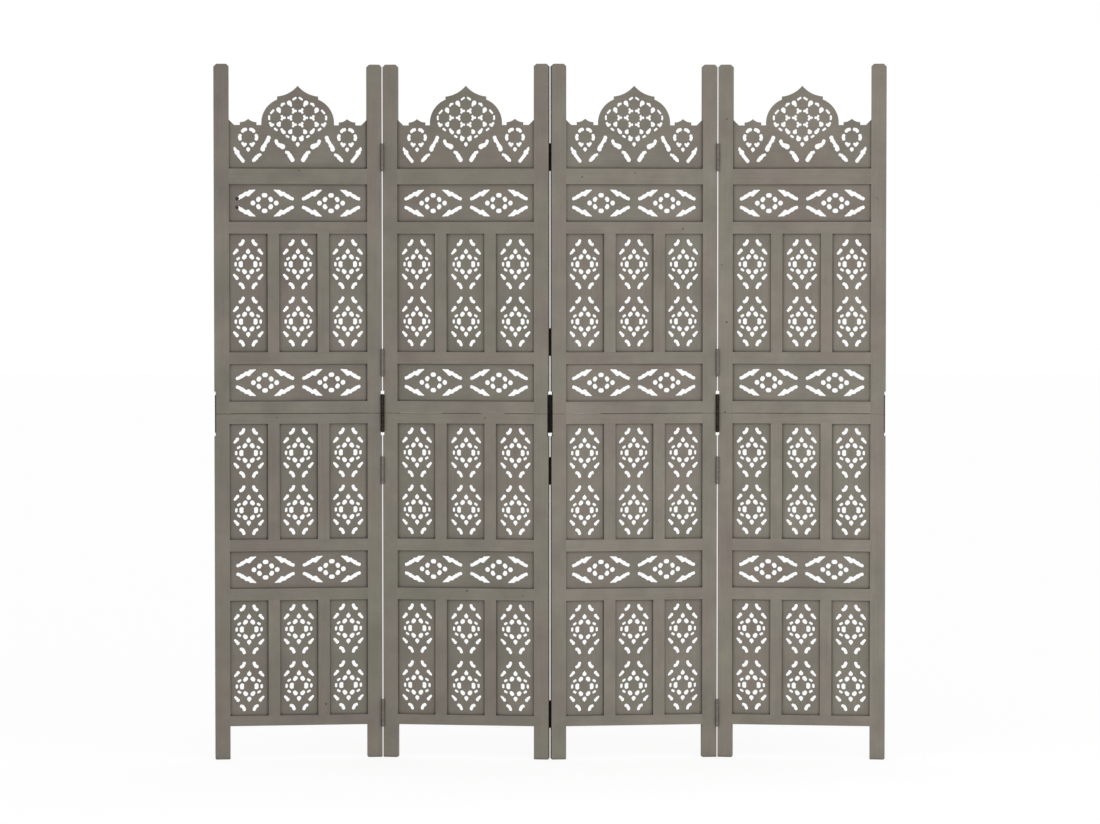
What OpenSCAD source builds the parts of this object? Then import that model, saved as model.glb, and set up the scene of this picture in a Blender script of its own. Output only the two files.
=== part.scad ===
// Four-leaf folding screen of fretted panels in grooved frames.
// Each leaf is an upper and a lower frame, held one above the other by the long hinges
// and joining plates at half height. Millimetres, +Z up, origin on the floor at the
// centre of the screen's box, front towards -Y, shown standing in its zigzag.

/* [Leaves] */
// Width of one leaf
leaf_w = 398; // [380:1:440]
// Rise of the stiles above the rail that carries the crest
stile_rise = 247; // [225:1:300]
// Thickness of the frame members
leaf_t = 20; // [18:0.5:26]
// Gap between two leaves that lie in one plane
seam_gap = 1; // [0.8:0.1:2]
// Angle of each leaf to the line of the screen, as it stands
stand_angle = 8; // [0:0.5:30]

/* [Frame members] */
// Width of the stiles
stile_w = 35; // [33:0.5:40]
// Width of the muntins between the columns
muntin_w = 27.5; // [24:0.5:32]
// Height of the common rails
rail_h = 28; // [26:0.5:34]
// Height of the bottom rail
bottom_rail_h = 24; // [22:0.5:32]
// Height of the head rail of the lower frame
head_rail_h = 24; // [22:0.5:32]
// Height of the rail that carries the crest
crest_rail_h = 37; // [28:0.5:45]
// Length of the feet below the bottom rail
foot_h = 79; // [60:1:90]
// Bevel at the tops of the stiles
top_bevel = 6; // [2:0.5:10]
// Bevel at the feet of the stiles
foot_bevel = 1.5; // [0.5:0.5:4]
// Eased edge where the upper frame stands on the lower one
split_ease = 0.8; // [0.4:0.1:1.5]
// Wood left between a tenon's end and the outer edge of its stile
tenon_stop = 17; // [17:0.5:21]
// Gap between the rails that meet at the split
split_gap = 1; // [0.4:0.1:2]
// Thickness of the rails' tenons
tenon_t = 8; // [7:0.5:10]

/* [Fretted panels] */
// Height of the openings for the column panels of the lower frame
lower_column_h = 275; // [270:1:280]
// Height of the openings for the column panels of the upper frame
upper_column_h = 281; // [276:1:286]
// Height of the openings for the band panels
band_h = 89; // [86:0.5:94]
// Thickness of the panels
panel_t = 6; // [5:0.5:6.5]
// Depth of the grooves that hold the panels
groove_d = 5.5; // [4:0.5:5.5]
// Clearance of a panel at the bottom of its groove
tongue_gap = 0.5; // [0.3:0.1:1]
// Clearance of a panel across its groove, in all
groove_gap = 0.2; // [0.1:0.05:0.4]

/* [Hinges] */
// Length of the small butt hinges
hinge_l = 63.5; // [50:0.5:76]
// Length of the long hinges across the split
long_hinge_l = 89; // [80:0.5:100]
// Distance of the hinge pins from the face of the leaves
pin_stand = 3.5; // [3.4:0.1:4]
// Radius of the hinge pins
pin_r = 1.5; // [1.2:0.1:1.7]
// Radius of the small hinges' knuckles
knuckle_r = 3.25; // [2.8:0.05:3.3]
// Radius of the long hinges' knuckles
long_knuckle_r = 4; // [3.5:0.05:4]
// Thickness of the small hinges' plates
plate_t = 1.5; // [1.2:0.1:1.8]
// Thickness of the long hinges' plates
long_plate_t = 1.8; // [1.5:0.1:2.2]
// Width of the hinge plates across the stile
plate_w = 16; // [14:0.5:17]
// Height of the lowest hinges' centres
hinge_z_1 = 106; // [80:1:150]
// Distance of the hinges below the split from it
hinge_below_split = 136; // [122:1:200]
// Distance of the hinges above the split from it
hinge_above_split = 120; // [108:1:138]
// Height of the highest hinges
hinge_z_4 = 1430; // [1380:1:1480]
// How much higher the middle seam's third hinge is
middle_hinge_rise = 50; // [0:1:60]
// Length of the cut-outs at the split
recess_l = 106; // [104:0.5:120]
// Depth of the cut-outs at the split
recess_d = 3; // [2.6:0.1:4]

/* [Plates and screws] */
// Length of the joining plates on the outer edges
joining_l = 89; // [80:0.5:100]
// Width of the joining plates
joining_w = 17; // [12:0.5:17.5]
// Thickness of the joining plates
joining_t = 2; // [1.5:0.1:2.5]
// Length of the screws
screw_l = 14; // [10:0.5:14.5]
// Radius of the screw heads
screw_head_r = 2.7; // [2.3:0.1:2.8]
// Radius of the screw shanks
screw_r = 1.4; // [1.2:0.1:1.5]

/* [Fretwork] */
// Distance of the column motifs from the middle of their panel
column_motif_z = 68; // [66:0.5:69]
// Distance of the band motifs from the middle of their panel
band_motif_x = 79; // [78:0.5:81]
// Radius of the solid disc in a column motif
column_disc_r = 12.6; // [12:0.1:13.2]
// Radius of the solid disc in a band motif
band_disc_r = 12; // [11.4:0.1:12.6]
// Radius of the round holes at the ends of a band motif
band_hole_r = 5.9; // [5:0.1:6]
// Reach of the three-lobed holes between the lattice's discs
lattice_hole_r = 7.3; // [6.6:0.1:7.6]
// Distance between the lattice's columns
lattice_dx = 26.6; // [26:0.1:27.5]
// Distance between the lattice's rows
lattice_dz = 16.2; // [16:0.1:17]
// Height of the crest above its rail
crest_h = 196; // [185:1:205]

/* [Hidden] */

// Finishes
frame_grey = [0.49, 0.47, 0.43];
panel_grey = [0.47, 0.45, 0.42];
black_steel = [0.12, 0.11, 0.10];
dark_steel = [0.24, 0.22, 0.20];

// Smoothness of small circles and of the crest's arcs
$fn = 32;
fine = 72;

// Small numbers that belong to no single piece
joint_gap = 0.1;    // clearance of a tenon in its mortise, on each side
pin_fit = 0.02;     // radial gap of a pin in the knuckles that hold it
pin_run = 0.05;     // radial gap of a pin in the knuckles that turn on it
knuckle_gap = 0.3;  // gap between two knuckles
disc_stretch = 1.7; // how much taller than wide a column motif's solid disc is, up and down
pilot_spare = 0.5;  // depth of a pilot hole beyond its screw's point
past = 1;           // how far a cutter runs past the face it opens

// Levels of the lower frame, from the floor up
rail_8 = foot_h;
column_3 = rail_8 + bottom_rail_h;
rail_7 = column_3 + lower_column_h;
band_3 = rail_7 + rail_h;
rail_6 = band_3 + band_h;
column_2 = rail_6 + rail_h;
rail_5 = column_2 + lower_column_h;
split_z = rail_5 + head_rail_h;

// Levels of the upper frame, from the split up
rail_4 = split_z + split_gap;
band_2 = rail_4 + rail_h;
rail_3 = band_2 + band_h;
column_1 = rail_3 + rail_h;
rail_2 = column_1 + upper_column_h;
band_1 = rail_2 + rail_h;
rail_1 = band_1 + band_h;
crest_z = rail_1 + crest_rail_h;
height = crest_z + stile_rise;

// Across one leaf
opening_w = leaf_w - 2 * stile_w;
column_w = (opening_w - 2 * muntin_w) / 3;
column_pitch = column_w + muntin_w;
tongue = groove_d - tongue_gap;
tenon_l = stile_w - tenon_stop;
groove_w = panel_t + groove_gap;
rail_shoulder = groove_d + 0.5;

// Each rail: its level, its height, and whether it is grooved below and above
RAILS = [
    [rail_8, bottom_rail_h, false, true],
    [rail_7, rail_h, true, true],
    [rail_6, rail_h, true, true],
    [rail_5, head_rail_h, true, false],
    [rail_4, rail_h, false, true],
    [rail_3, rail_h, true, true],
    [rail_2, rail_h, true, true],
    [rail_1, crest_rail_h, true, true]
];
COLUMN_ROWS = [[column_3, lower_column_h], [column_2, lower_column_h], [column_1, upper_column_h]];
BANDS = [band_3, band_2, band_1];

// The plan of the screen: distances between two hinge axes along and across a leaf
axis_run = leaf_w + seam_gap;
axis_step = leaf_t + 2 * pin_stand;
outer_axis_x = axis_run * cos(stand_angle) + axis_step * sin(stand_angle);
middle_axis_y = (axis_step * cos(stand_angle) - axis_run * sin(stand_angle)) / 2;
outer_axis_y = -middle_axis_y;

// Hinge heights at a seam, and the seams whose pins stand at the front
function small_hinges(seam) = [
    hinge_z_1, split_z - hinge_below_split,
    split_z + hinge_above_split + (seam == 2 ? middle_hinge_rise : 0), hinge_z_4
];
function front_pins(seam) = seam != 2;

// Screws: evenly spaced along a plate, and their distance from the leaf's face
screw_end = 9;
plate_screw_y = plate_w * 0.6;
function screw_row(count, length) = [
    for (k = [0 : count - 1]) (k / (count - 1) - 0.5) * (length - 2 * screw_end)
];
small_screws = screw_row(3, hinge_l);
long_screws = screw_row(4, long_hinge_l);
joining_screws = screw_row(4, joining_l);

// How much smaller than drawn the crest's cuts and small domes are in a narrower leaf
cuts_fit = min(1, opening_w / 328);

// Crest, from the middle of its rail's top: the big dome of two arcs and its ogee peak,
// the two small domes, the dips beside them and the rise to the stiles
dome_r = 60;
dome_x = 26.2;
dome_z = 108;
ear_x = 48.5;
ear_z = 170.8;
small_dome_x = opening_w / 2 - 46.5 * cuts_fit;
small_dome_z = 117.6;
small_ear_x = 19.6 * cuts_fit;
small_ear_z = 109.8;
dip_x = opening_w / 2 - 13;
dip_z = 103;
crest_edge_z = 116;
base_z = dip_z - 5;

// Crest: the middle of its lattice and of its medallions
lattice_z = 120.5;
medallion_z = 74;

// Slots and holes as rows of round lobes, each [across, up, radius] from its motif's middle,
// those of the column and band motifs for the upper right quarter
COLUMN_END_SLOT = [[11.8, 55.2, 4.1], [13.2, 51.6, 4.2], [15.2, 48.4, 4.1], [18.6, 46.8, 4.1]];
COLUMN_SIDE_SLOT = [[26.6, 32.8, 4.3], [30.2, 28.6, 3.8], [33.2, 25.6, 3]];
COLUMN_PETAL = [[7.9, 18.2, 5.2], [9.9, 15.8, 4.8]];
COLUMN_RING_HOLE = [[21.8, 14.4, 3.1], [24.9, 12.4, 3.2]];
COLUMN_SIDE_HOLE = [[29.5, 2.2, 3.1], [29.6, 0, 3.2], [29.5, -2.2, 3.1]];
BAND_SLOT = [
    [34.4, 26, 5.4], [39.4, 21.6, 6.1], [45.2, 22, 4.9], [50.4, 18.3, 4.5], [55.6, 15.4, 5.1],
    [60.9, 12, 4.3], [65.6, 10.3, 4.2]
];
BAND_SLOT_TIP = [[21, 30.8], [23.4, 32], [34, 30.9], [31.6, 21.8]];

// Medallion: a hole of its ring at its right side, a hole below, and the two slots under it
RING_HOLE = [[19.2, -3.9, 4.2], [20.3, 0, 4.2], [19.2, 3.9, 4.2]];
LOWER_RING_HOLE = [[6.1, -16, 3.2], [9.3, -18.3, 4.3], [12.8, -14.7, 3.7]];
STILE_SIDE_SLOT = [
    [32.2, -25.3, 2.6], [31, -28.9, 4], [26.4, -35.6, 6.2], [22.4, -43.2, 4.8],
    [18.7, -47.9, 4.5], [15.4, -52, 4.5], [12.4, -55.8, 4.5]
];
DOME_SIDE_SLOT = [
    [-28.2, -41, 3.6], [-23.6, -43.2, 4.2], [-19, -48.2, 5.2], [-14.6, -52.8, 4.7],
    [-12.3, -54.8, 3.5]
];

// The V of slots below the lattice, from the middle of the crest rail's top
V_OUTER_SLOT = [
    [69, 73.2, 5], [71.2, 67, 5.3], [75.4, 61.6, 4.4], [78.6, 54.9, 5.3], [82, 50.6, 5.3],
    [83, 46.2, 5.7]
];
V_UPPER_SLOT = [
    [51, 65, 4.5], [49.5, 60.5, 4.4], [44.6, 55.8, 5.2], [39.5, 54.2, 5.6], [36, 52.2, 6.3]
];
V_LOWER_SLOT = [
    [26.7, 39, 3.8], [22.5, 37, 4.6], [18.8, 30.5, 5.8], [15.6, 25.6, 5.6], [12.8, 21, 5.4]
];

// Holes of the lattice's rim: the column and row of the disc they lie at, and their lobes
// from its middle
RIM_HOLES = [
    [0, 2, [[4.6, 14.7, 2.6], [7.3, 13, 2.8], [10.2, 11, 2.7]]],
    [1, 1, [[-10.7, 12.6, 2.9], [-9.1, 16.3, 4.2], [-6.7, 18.9, 5.8]]],
    [1, 1, [[5.7, 17, 2.9], [9.5, 15.7, 3.5], [11.4, 12.7, 2.9]]],
    [2, 0, [[-10.6, 13.7, 3], [-9.2, 16.5, 4.4], [-7.9, 19, 5.7]]],
    [2, 0, [[4.7, 17, 2.8], [7.1, 14.3, 2.9], [9.8, 11.3, 2.9]]],
    [2, 0, [[14.3, 3.2, 2.8], [14.7, 0, 2.9], [14.3, -3.2, 2.8]]],
    [2, 0, [[5.1, -16.3, 3], [8.8, -17.5, 4.3], [12, -13.3, 3.4]]],
    [2, 0, [[-10.4, -12.3, 3.4], [-7.6, -15.7, 5], [-9.4, -17.7, 4]]],
    [2, 0, [[-3.4, -29.1, 2.7], [-1, -27.4, 2.9], [0.9, -26, 2.8]]],
    [1, -1, [[11.4, -11.6, 3.3], [8.6, -15.9, 4.4], [6, -18.3, 4.5]]],
    [1, -1, [[-11.1, -13.5, 2.9], [-8.7, -17.3, 5.1], [-11, -19, 3.1]]],
    [0, -2, [[22.2, -13, 2.7], [24.5, -11.7, 2.9], [26.3, -10.7, 2.8]]],
    [0, -2, [[5.2, -15.3, 2.7], [8.9, -17.5, 5.8], [10.9, -12.3, 3.2]]]
];

// ---------------------------------------------------------------- placing

// Puts a leaf, drawn flat with its lower left front corner at the origin, in the zigzag
module place_leaf(leaf) {
    turn = (leaf == 1 || leaf == 3) ? stand_angle : -stand_angle;
    axis = leaf == 1 ? [-outer_axis_x, outer_axis_y] :
           leaf == 4 ? [outer_axis_x, outer_axis_y] : [0, middle_axis_y];
    along = leaf <= 2 ? -(leaf_w + seam_gap / 2) : seam_gap / 2;
    across = (leaf == 1 || leaf == 4) ? pin_stand : -(leaf_t + pin_stand);
    translate([axis[0], axis[1], 0]) rotate([0, 0, turn]) translate([along, across, 0]) children();
}

// Turns what is drawn for a left edge and a front face to the other edge or the back face
module to_edge(right, back) {
    translate([right ? leaf_w : 0, back ? leaf_t : 0, 0])
        mirror([right ? 1 : 0, 0, 0]) mirror([0, back ? 1 : 0, 0]) children();
}

// ---------------------------------------------------------------- stiles

// Seam at an edge of a leaf, 0 at the screen's two outer edges
function seam_at(leaf, right) = right ? (leaf == 4 ? 0 : leaf) : leaf - 1;

module bevelled_bar(h, low, high) {
    translate([0, leaf_t, 0]) rotate([90, 0, 0]) linear_extrude(leaf_t)
        polygon([[low, 0], [stile_w - low, 0], [stile_w, low], [stile_w, h - high],
                 [stile_w - high, h], [high, h], [0, h - high], [0, low]]);
}

// Groove for the panels and mortises for the rails, in the edge at stile_w
module stile_joinery(z0, z1, groove_from, groove_to) {
    translate([stile_w - groove_d, (leaf_t - groove_w) / 2, groove_from])
        cube([groove_d + past, groove_w, groove_to - groove_from]);
    for (rail = RAILS)
        if (rail[0] >= z0 && rail[0] < z1)
            translate([stile_w - tenon_l - joint_gap, (leaf_t - tenon_t) / 2 - joint_gap,
                       rail[0] + rail_shoulder - joint_gap])
                cube([tenon_l + joint_gap + past, tenon_t + 2 * joint_gap,
                      rail[1] - 2 * rail_shoulder + 2 * joint_gap]);
}

// Beds of the hinge plates and pilot holes, in the edge at 0, for pins at the front
module hinge_beds(seam, z0, z1) {
    for (z = small_hinges(seam))
        if (z > z0 && z < z1) {
            translate([-past, -past, z - hinge_l / 2 - joint_gap])
                cube([past + plate_t, past + plate_w + joint_gap, hinge_l + 2 * joint_gap]);
            for (dz = small_screws) pilot_hole(z + dz, plate_screw_y, 0);
        }
    for (dz = long_screws)
        if (split_z + dz > z0 && split_z + dz < z1)
            pilot_hole(split_z + dz, plate_screw_y, recess_d - long_plate_t);
}

module pilot_hole(z, y, depth) {
    translate([depth, y, z]) rotate([0, 90, 0])
        cylinder(r = screw_r + joint_gap, h = screw_l + pilot_spare);
}

// The cut-out through the edge at 0 that the long hinge or the joining plate lies in
module split_recess() {
    translate([-past, -past, split_z - recess_l / 2])
        cube([past + recess_d, leaf_t + 2 * past, recess_l]);
}

module edge_cuts(leaf, right, z0, z1) {
    seam = seam_at(leaf, right);
    split_recess();
    if (seam == 0)
        for (dz = joining_screws)
            if (split_z + dz > z0 && split_z + dz < z1)
                pilot_hole(split_z + dz, leaf_t / 2, recess_d - joining_t);
    if (seam > 0) translate([0, front_pins(seam) ? 0 : leaf_t, 0])
        mirror([0, front_pins(seam) ? 0 : 1, 0]) hinge_beds(seam, z0, z1);
}

module lower_stile(leaf, right) {
    color(frame_grey) place_leaf(leaf) to_edge(right, false) difference() {
        bevelled_bar(split_z, foot_bevel, split_ease);
        stile_joinery(0, split_z, rail_8 + rail_shoulder, split_z + past);
        edge_cuts(leaf, right, 0, split_z);
    }
}

module upper_stile(leaf, right) {
    color(frame_grey) place_leaf(leaf) to_edge(right, false) difference() {
        translate([0, 0, split_z]) bevelled_bar(height - split_z, split_ease, top_bevel);
        stile_joinery(split_z, height, split_z - past, crest_z + crest_edge_z + tongue_gap);
        edge_cuts(leaf, right, split_z, height);
    }
}

// ---------------------------------------------------------------- rails and muntins

module rail(z, h, grooved_below, grooved_above) {
    translate([stile_w, 0, z]) difference() {
        union() {
            cube([opening_w, leaf_t, h]);
            translate([-tenon_l, (leaf_t - tenon_t) / 2, rail_shoulder])
                cube([opening_w + 2 * tenon_l, tenon_t, h - 2 * rail_shoulder]);
        }
        if (grooved_below) translate([-past, (leaf_t - groove_w) / 2, -past])
            cube([opening_w + 2 * past, groove_w, groove_d + past]);
        if (grooved_above) translate([-past, (leaf_t - groove_w) / 2, h - groove_d])
            cube([opening_w + 2 * past, groove_w, groove_d + past]);
    }
}

module rails(leaf) {
    color(frame_grey) place_leaf(leaf)
        for (r = RAILS) rail(r[0], r[1], r[2], r[3]);
}

module muntin(h) {
    difference() {
        union() {
            cube([muntin_w, leaf_t, h]);
            translate([groove_d, (leaf_t - panel_t) / 2, -tongue])
                cube([muntin_w - 2 * groove_d, panel_t, h + 2 * tongue]);
        }
        for (x = [-past, muntin_w - groove_d])
            translate([x, (leaf_t - groove_w) / 2, -past])
                cube([groove_d + past, groove_w, h + 2 * past]);
    }
}

module muntins(leaf) {
    color(frame_grey) place_leaf(leaf)
        for (row = COLUMN_ROWS, k = [1, 2])
            translate([stile_w + k * column_pitch - muntin_w, 0, row[0]]) muntin(row[1]);
}

// ---------------------------------------------------------------- fretwork

// A hole of round lobes that run into one another in their order
module lobed_hole(lobes) {
    for (k = [0 : len(lobes) - 1])
        let (near = lobes[k == 0 ? 1 : k - 1], lobe = lobes[k])
            translate([lobe[0], lobe[1]])
                rotate(atan2(near[1] - lobe[1], near[0] - lobe[0])) circle(r = lobe[2]);
}

// What is drawn for the upper right quarter, in all four
module four_quarters() {
    for (sx = [0, 1], sz = [0, 1]) mirror([sx, 0]) mirror([0, sz]) children();
}

// A short bean of two round holes that run together, across the direction of an angle
module bean(radius, angle, r, spread) {
    rotate(angle) translate([radius, 0])
        for (side = [-1, 1]) rotate(90 * side) translate([spread, 0]) rotate(180) circle(r = r);
}

// A round hole drawn out to a point, pointing up
module drop(r, tip) {
    rotate(90) circle(r = r);
    polygon([[0.79 * r, 0.5 * r], [0, tip], [-0.79 * r, 0.5 * r]]);
}

// Cuts of one motif of a column panel: a flower in a ring, in a pointed oval of leaf slots
module column_motif() {
    difference() {
        for (angle = [0, 180]) bean(17, angle, 5.4, 2.1);
        rotate(30) circle(r = column_disc_r);
    }
    difference() {
        four_quarters() lobed_hole(COLUMN_PETAL);
        rotate(30) circle(r = column_disc_r + disc_stretch);
    }
    for (side = [0, 180]) rotate(side) {
        translate([0, 29.7]) drop(5.3, 8.2);
        lobed_hole(COLUMN_SIDE_HOLE);
    }
    four_quarters() {
        lobed_hole(COLUMN_RING_HOLE);
        lobed_hole(COLUMN_SIDE_SLOT);
        lobed_hole(COLUMN_END_SLOT);
    }
}

// Cuts of one motif of a band panel: eight round holes in a lozenge of long leaf slots
module band_motif() {
    difference() {
        for (side = [0, 180]) rotate(side) {
            bean(18.4, 90, 5.3, 1.7);
            for (angle = [31, 149]) bean(16.8, angle, 5.5, 0.9);
        }
        circle(r = band_disc_r);
    }
    for (side = [-1, 1]) translate([side * 27.6, 0]) circle(r = band_hole_r);
    four_quarters() {
        polygon(BAND_SLOT_TIP);
        lobed_hole(BAND_SLOT);
    }
}

// Cuts of a small medallion: a solid disc in a broken ring, with a drop and two slots below
module medallion_cuts() {
    for (angle = [0, 60, 120, 180]) rotate(angle) lobed_hole(RING_HOLE);
    for (side = [0, 1]) mirror([side, 0]) lobed_hole(LOWER_RING_HOLE);
    translate([0, -28.3]) rotate(180) drop(4.8, 7);
    lobed_hole(STILE_SIDE_SLOT);
    lobed_hole(DOME_SIDE_SLOT);
}

// A three-lobed hole, its lobes at 0, 120 and 240 degrees
module trefoil(reach) {
    petal_r = reach * 0.43;
    circle(r = reach * 0.95, $fn = 3);
    for (angle = [0 : 120 : 240])
        rotate(angle) translate([reach - petal_r, 0]) rotate(180) circle(r = petal_r);
}

// Holes round the lattice's solid discs. Those within it, at column m and row j counted from
// the middle in thirds of a disc's width, have three lobes
module lattice_cuts() {
    for (m = [-4 : 4], j = [-1 : 1])
        if (m % 3 != 0 && (m + j) % 2 == 0)
            translate([m * lattice_dx / 3, j * lattice_dz])
                rotate((m + 9) % 3 == 1 ? 180 : 0) trefoil(lattice_hole_r);
    for (side = [0, 1], hole = RIM_HOLES)
        mirror([side, 0]) translate([hole[0] * lattice_dx, hole[1] * lattice_dz]) lobed_hole(hole[2]);
    translate([0, -2 * lattice_dz - 30]) rotate(180) drop(4.8, 7.3);
}

module crest_cuts() {
    translate([0, lattice_z]) scale(cuts_fit) lattice_cuts();
    for (side = [0, 1]) mirror([side, 0]) {
        translate([small_dome_x, medallion_z * cuts_fit]) scale(cuts_fit) medallion_cuts();
        for (slot = [V_OUTER_SLOT, V_UPPER_SLOT, V_LOWER_SLOT]) scale(cuts_fit) lobed_hole(slot);
    }
}

// A raised arc-sided peak: half width, base level, level of its ends, level of its point
module ogee_peak(half, base, ear, apex) {
    chord = norm([half, apex - ear]);
    slope = atan2(apex - ear, half);
    bend = 22;
    hollow_r = chord / 2 / sin(bend);
    centre = [half + hollow_r * sin(slope - bend), ear + hollow_r * cos(slope - bend)];
    difference() {
        translate([-half, base]) square([2 * half, apex - base]);
        for (side = [-1, 1]) translate([side * centre[0], centre[1]]) circle(r = hollow_r, $fn = fine);
    }
}

module crest_outline() {
    edge_x = opening_w / 2 + tongue;
    translate([-edge_x, -tongue]) square([2 * edge_x, dip_z + tongue]);
    translate([-small_dome_x, base_z]) square([2 * small_dome_x, dip_z - base_z]);
    for (side = [0, 1]) mirror([side, 0]) {
        translate([dome_x, dome_z]) circle(r = dome_r, $fn = fine);
        translate([small_dome_x, 0]) ogee_peak(small_ear_x, base_z, small_ear_z, small_dome_z);
        polygon([[dip_x, base_z], [edge_x, base_z], [edge_x, crest_edge_z],
                 [opening_w / 2, crest_edge_z], [dip_x, dip_z]]);
    }
    ogee_peak(ear_x, base_z, ear_z, crest_h);
}

// ---------------------------------------------------------------- panels

// A flat panel drawn upright: x across, y up in the drawing, set in the middle of the frame
module upright() {
    translate([0, (leaf_t + panel_t) / 2, 0]) rotate([90, 0, 0]) linear_extrude(panel_t) children();
}

module column_panel(h) {
    upright() difference() {
        translate([-column_w / 2 - tongue, -tongue]) square([column_w + 2 * tongue, h + 2 * tongue]);
        for (side = [-1, 1]) translate([0, h / 2 + side * column_motif_z]) column_motif();
    }
}

module column_panels(leaf, row) {
    color(panel_grey) place_leaf(leaf)
        for (k = [0 : 2])
            translate([stile_w + column_w / 2 + k * column_pitch, 0, COLUMN_ROWS[row][0]])
                column_panel(COLUMN_ROWS[row][1]);
}

module band_panel() {
    upright() difference() {
        translate([-opening_w / 2 - tongue, -tongue])
            square([opening_w + 2 * tongue, band_h + 2 * tongue]);
        for (side = [-1, 1]) translate([side * band_motif_x, band_h / 2]) band_motif();
    }
}

module band_panels(leaf) {
    color(panel_grey) place_leaf(leaf)
        for (z = BANDS) translate([leaf_w / 2, 0, z]) band_panel();
}

module crest_panel(leaf) {
    color(panel_grey) place_leaf(leaf) translate([leaf_w / 2, 0, crest_z])
        upright() difference() {
            crest_outline();
            crest_cuts();
        }
}

// ---------------------------------------------------------------- hinges and fixings

// One side of a butt hinge for an edge at 0 with the pin in front: the plate lies in the
// edge at the given depth, and takes every other one of five knuckles, from the first given
module hinge_side(length, r, thick, depth, first, gap, screws) {
    pitch = length / 5;
    web_end = 0.6;
    difference() {
        union() {
            translate([depth, web_end, -length / 2]) cube([thick, plate_w - web_end, length]);
            for (k = [first : 2 : 4])
                translate([-seam_gap / 2, -pin_stand, -length / 2 + k * pitch + knuckle_gap / 2]) {
                    cylinder(r = r, h = pitch - knuckle_gap);
                    translate([depth + seam_gap / 2, 0, 0])
                        cube([thick, pin_stand + web_end + 1, pitch - knuckle_gap]);
                }
        }
        translate([-seam_gap / 2, -pin_stand, -length / 2 - past])
            cylinder(r = pin_r + gap, h = length + 2 * past);
        for (dz = screws) translate([depth, plate_screw_y, dz]) rotate([0, 90, 0]) screw_hole(thick);
    }
}

// Countersunk hole through a plate of the given thickness, from its outer face inwards
module screw_hole(thick) {
    translate([0, 0, -past]) cylinder(r = screw_r + joint_gap, h = thick + 2 * past);
    head_r = screw_head_r + joint_gap;
    head_h = screw_head_r - screw_r;
    rotate_extrude()
        polygon([[0, -past], [head_r, -past], [head_r, 0], [screw_r + joint_gap, head_h], [0, head_h]]);
}

module hinge_sides(seam, leaf, right, first, gap) {
    color(front_pins(seam) ? dark_steel : black_steel) place_leaf(leaf)
        to_edge(right, !front_pins(seam)) {
            for (z = small_hinges(seam)) translate([0, 0, z])
                hinge_side(hinge_l, knuckle_r, plate_t, 0, first, gap, small_screws);
            translate([0, 0, split_z])
                hinge_side(long_hinge_l, long_knuckle_r, long_plate_t, recess_d - long_plate_t,
                           first, gap, long_screws);
        }
}

module pin(length, head_r) {
    head_h = 1.2;
    translate([0, 0, -length / 2 - head_h]) cylinder(r = head_r, h = head_h);
    translate([0, 0, -length / 2 - head_h]) cylinder(r = pin_r, h = length + 2 * head_h);
    translate([0, 0, length / 2]) cylinder(r = head_r, h = head_h);
}

module pins(seam) {
    axis = seam == 2 ? [0, middle_axis_y] : [(seam - 2) * outer_axis_x, outer_axis_y];
    color(front_pins(seam) ? dark_steel : black_steel) translate([axis[0], axis[1], 0]) {
        for (z = small_hinges(seam)) translate([0, 0, z]) pin(hinge_l, knuckle_r - 0.6);
        translate([0, 0, split_z]) pin(long_hinge_l, long_knuckle_r - 0.8);
    }
}

module joining_plate(leaf, right) {
    color(black_steel) place_leaf(leaf) to_edge(right, false) difference() {
        translate([recess_d - joining_t, (leaf_t - joining_w) / 2, split_z - joining_l / 2])
            cube([joining_t, joining_w, joining_l]);
        for (dz = joining_screws)
            translate([recess_d - joining_t, leaf_t / 2, split_z + dz]) rotate([0, 90, 0])
                screw_hole(joining_t);
    }
}

// Countersunk wood screw, its head flush with the origin, pointing up
module screw() {
    point_l = 3;
    rotate_extrude()
        polygon([[0, 0], [screw_head_r, 0], [screw_r, screw_head_r - screw_r],
                 [screw_r, screw_l - point_l], [0, screw_l]]);
}

module edge_screws(leaf, right) {
    seam = seam_at(leaf, right);
    to_edge(right, seam > 0 && !front_pins(seam)) {
        if (seam == 0)
            for (dz = joining_screws) one_screw(split_z + dz, leaf_t / 2, recess_d - joining_t);
        if (seam > 0) {
            for (z = small_hinges(seam), dz = small_screws) one_screw(z + dz, plate_screw_y, 0);
            for (dz = long_screws) one_screw(split_z + dz, plate_screw_y, recess_d - long_plate_t);
        }
    }
}

module one_screw(z, y, depth) {
    translate([depth, y, z]) rotate([0, 90, 0]) screw();
}

module leaf_screws(leaf) {
    color(black_steel) place_leaf(leaf) for (right = [false, true]) edge_screws(leaf, right);
}

// ---------------------------------------------------------------- the screen

lower_stile(1, false);  // leaf_1_lower_left_stile
lower_stile(1, true);  // leaf_1_lower_right_stile
upper_stile(1, false);  // leaf_1_upper_left_stile
upper_stile(1, true);  // leaf_1_upper_right_stile
rails(1);  // leaf_1_rails
muntins(1);  // leaf_1_muntins
column_panels(1, 0);  // leaf_1_bottom_column_panels
column_panels(1, 1);  // leaf_1_middle_column_panels
column_panels(1, 2);  // leaf_1_top_column_panels
band_panels(1);  // leaf_1_band_panels
crest_panel(1);  // leaf_1_crest_panel

lower_stile(2, false);  // leaf_2_lower_left_stile
lower_stile(2, true);  // leaf_2_lower_right_stile
upper_stile(2, false);  // leaf_2_upper_left_stile
upper_stile(2, true);  // leaf_2_upper_right_stile
rails(2);  // leaf_2_rails
muntins(2);  // leaf_2_muntins
column_panels(2, 0);  // leaf_2_bottom_column_panels
column_panels(2, 1);  // leaf_2_middle_column_panels
column_panels(2, 2);  // leaf_2_top_column_panels
band_panels(2);  // leaf_2_band_panels
crest_panel(2);  // leaf_2_crest_panel

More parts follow.
